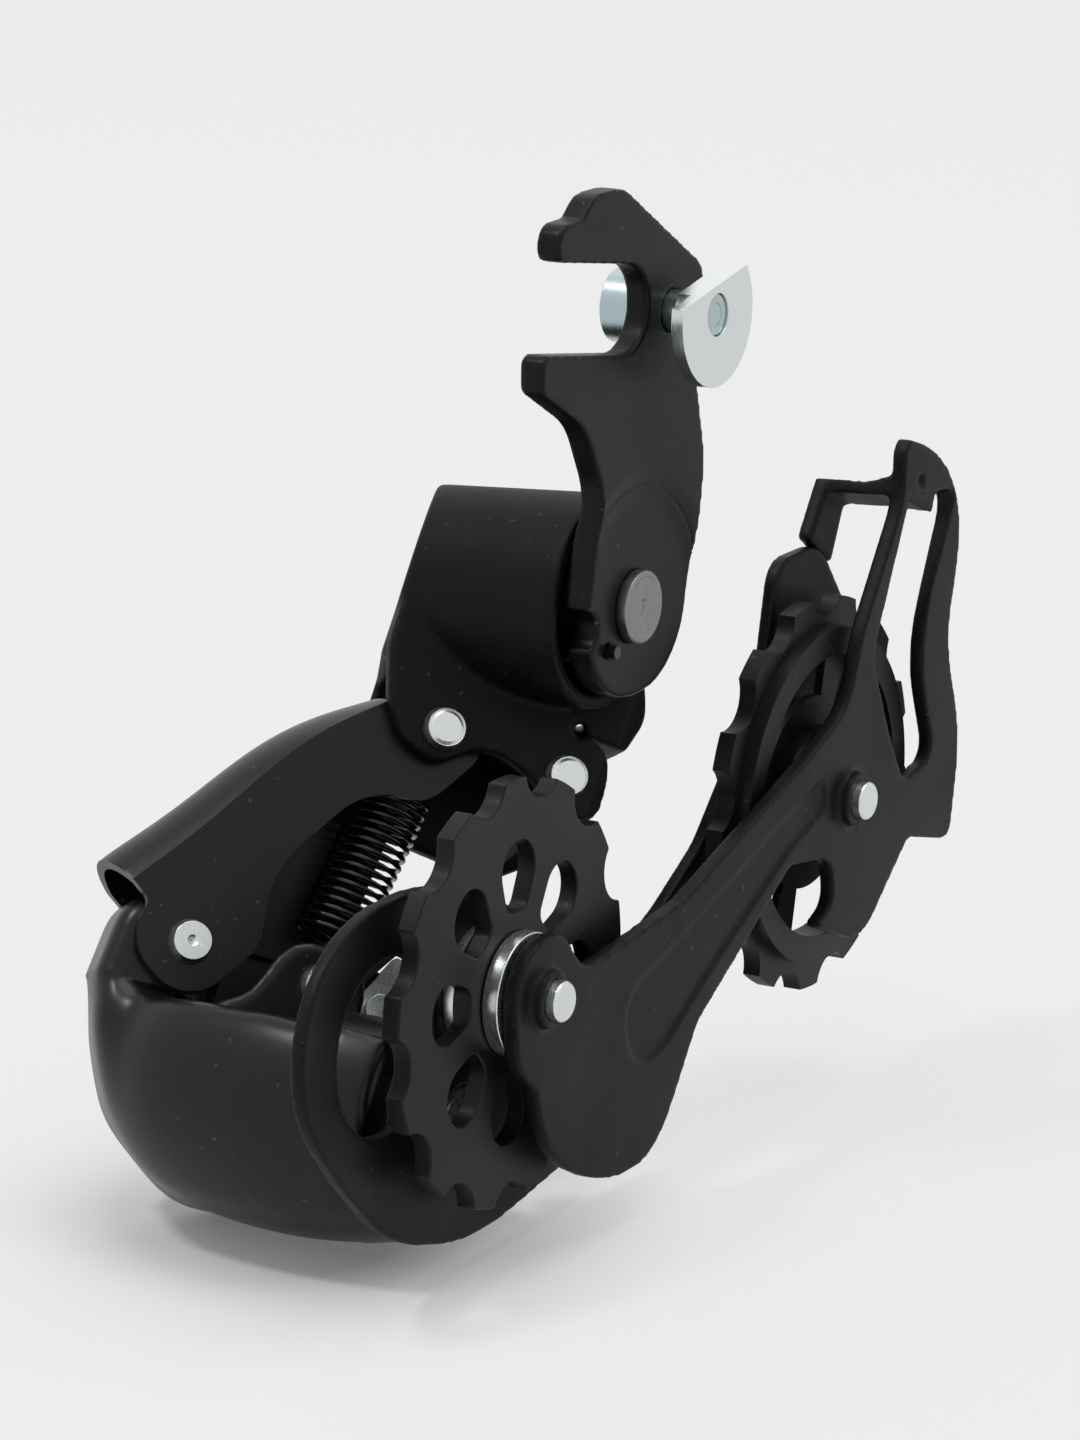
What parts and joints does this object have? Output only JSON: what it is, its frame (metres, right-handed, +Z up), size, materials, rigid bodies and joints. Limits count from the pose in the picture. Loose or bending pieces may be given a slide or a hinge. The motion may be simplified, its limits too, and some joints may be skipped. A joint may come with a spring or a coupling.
{
  "type": "rear derailleur",
  "caption": "Rear derailleur on a bolt-on claw hanger: slant parallelogram with return spring, sprung knuckles and a long pulley cage that tensions the chain.",
  "frame": {"origin": "centre of the wheel axle where it rests in the hanger's slot, on the bracket face that lies against the frame's dropout", "axes": "+X forwards, the way the bicycle rides; +Y inwards, towards the wheel, square to the dropout; +Z up"},
  "size_m": [0.1452, 0.0643, 0.121],
  "materials": {
    "black_paint": "satin black coating on steel and die-cast aluminium",
    "black_cage": "semi-matt black coating on pressed steel",
    "zinc_steel": "bright zinc-plated steel",
    "spring_wire": "glossy black spring wire",
    "black_resin": "moulded black nylon"
  },
  "bodies": {
    "hanger": {"hanger_bracket": "black_paint", "b_axle": "zinc_steel", "b_retainer": "zinc_steel", "hanger_bolt": "zinc_steel"},
    "nut_plate": {"hanger_nut": "zinc_steel"},
    "upper_knuckle": {"b_knuckle": "black_paint", "b_spring": "spring_wire", "upper_outer_pin": "zinc_steel", "upper_inner_pin": "zinc_steel", "adjuster_spring": "spring_wire"},
    "outer_link": {"outer_link": "black_paint", "return_spring": "spring_wire"},
    "inner_link": {"inner_link": "black_paint", "cable_clamp_plate": "zinc_steel", "cable_clamp_bolt": "zinc_steel"},
    "lower_knuckle": {"p_knuckle": "black_paint", "lower_outer_pin": "zinc_steel", "lower_inner_pin": "zinc_steel", "p_spring": "spring_wire"},
    "cage": {"inner_cage_plate": "black_cage", "outer_cage_plate": "black_cage", "p_axle": "zinc_steel", "cage_stop_pin": "zinc_steel", "guide_bush": "zinc_steel", "tension_bush": "zinc_steel", "guide_bolt": "zinc_steel", "tension_bolt": "zinc_steel", "guide_inner_cap": "zinc_steel", "guide_outer_cap": "zinc_steel", "tension_inner_cap": "zinc_steel", "tension_outer_cap": "zinc_steel"},
    "guide_pulley": {"guide_pulley": "black_resin"},
    "tension_pulley": {"tension_pulley": "black_resin"},
    "barrel_adjuster": {"barrel_adjuster": "black_resin"},
    "limit_screw_high": {"limit_screw_high": "zinc_steel"},
    "limit_screw_low": {"limit_screw_low": "zinc_steel"}
  },
  "joints": [
    {"name": "nut_turn", "type": "hinge", "parent": "hanger", "child": "nut_plate", "pos_m": [-0.0109, 0.0046, -0.0018], "axis": [0, 1, 0], "continuous": true},
    {"name": "upper_pivot", "type": "hinge", "parent": "hanger", "child": "upper_knuckle", "pos_m": [-0.0035, -0.017, -0.0362], "axis": [0, 1, 0], "range_deg": [-25, 0], "stiffness_Nm_per_rad": 0.6, "springref_deg": 34.38, "deforming": ["b_spring"]},
    {"name": "link_swing", "type": "hinge", "parent": "upper_knuckle", "child": "outer_link", "pos_m": [0.0107, -0.0186, -0.0504], "axis": [0.5991, 0.6967, 0.3946], "range_deg": [0, 55], "stiffness_Nm_per_rad": 1.2, "springref_deg": -20.05, "deforming": ["return_spring"]},
    {"name": "inner_link_swing", "type": "hinge", "parent": "upper_knuckle", "child": "inner_link", "pos_m": [0.00162, -0.00713, -0.05687], "axis": [0.5991, 0.6967, 0.3946], "range_deg": [0, 55]},
    {"name": "lower_knuckle_level", "type": "hinge", "parent": "outer_link", "child": "lower_knuckle", "pos_m": [0.04153, -0.03371, -0.07053], "axis": [0.5991, 0.6967, 0.3946], "range_deg": [-55, 0]},
    {"name": "cage_swing", "type": "hinge", "parent": "lower_knuckle", "child": "cage", "pos_m": [0.0391, -0.0015, -0.0875], "axis": [0, -1, 0], "range_deg": [0, 95], "stiffness_Nm_per_rad": 0.35, "springref_deg": -40.11, "deforming": ["p_spring"]},
    {"name": "guide_pulley_spin", "type": "hinge", "parent": "cage", "child": "guide_pulley", "pos_m": [0.0363, 0.0045, -0.0722], "axis": [0, 1, 0], "continuous": true},
    {"name": "tension_pulley_spin", "type": "hinge", "parent": "cage", "child": "tension_pulley", "pos_m": [-0.0392, 0.0045, -0.0669], "axis": [0, 1, 0], "continuous": true},
    {"name": "adjuster_turn", "type": "hinge", "parent": "upper_knuckle", "child": "barrel_adjuster", "pos_m": [-0.0187, -0.0171, -0.056], "axis": [-0.8447, -0.4969, -0.1988], "continuous": true},
    {"name": "high_screw_turn", "type": "hinge", "parent": "upper_knuckle", "child": "limit_screw_high", "pos_m": [-0.0165, -0.0225, -0.0466], "axis": [1, 0, 0], "continuous": true},
    {"name": "low_screw_turn", "type": "hinge", "parent": "upper_knuckle", "child": "limit_screw_low", "pos_m": [-0.0165, -0.0286, -0.0466], "axis": [1, 0, 0], "continuous": true}
  ],
  "couplings": [
    {"joint": "inner_link_swing", "follows": "link_swing", "ratio": 1},
    {"joint": "lower_knuckle_level", "follows": "link_swing", "ratio": -1}
  ]
}
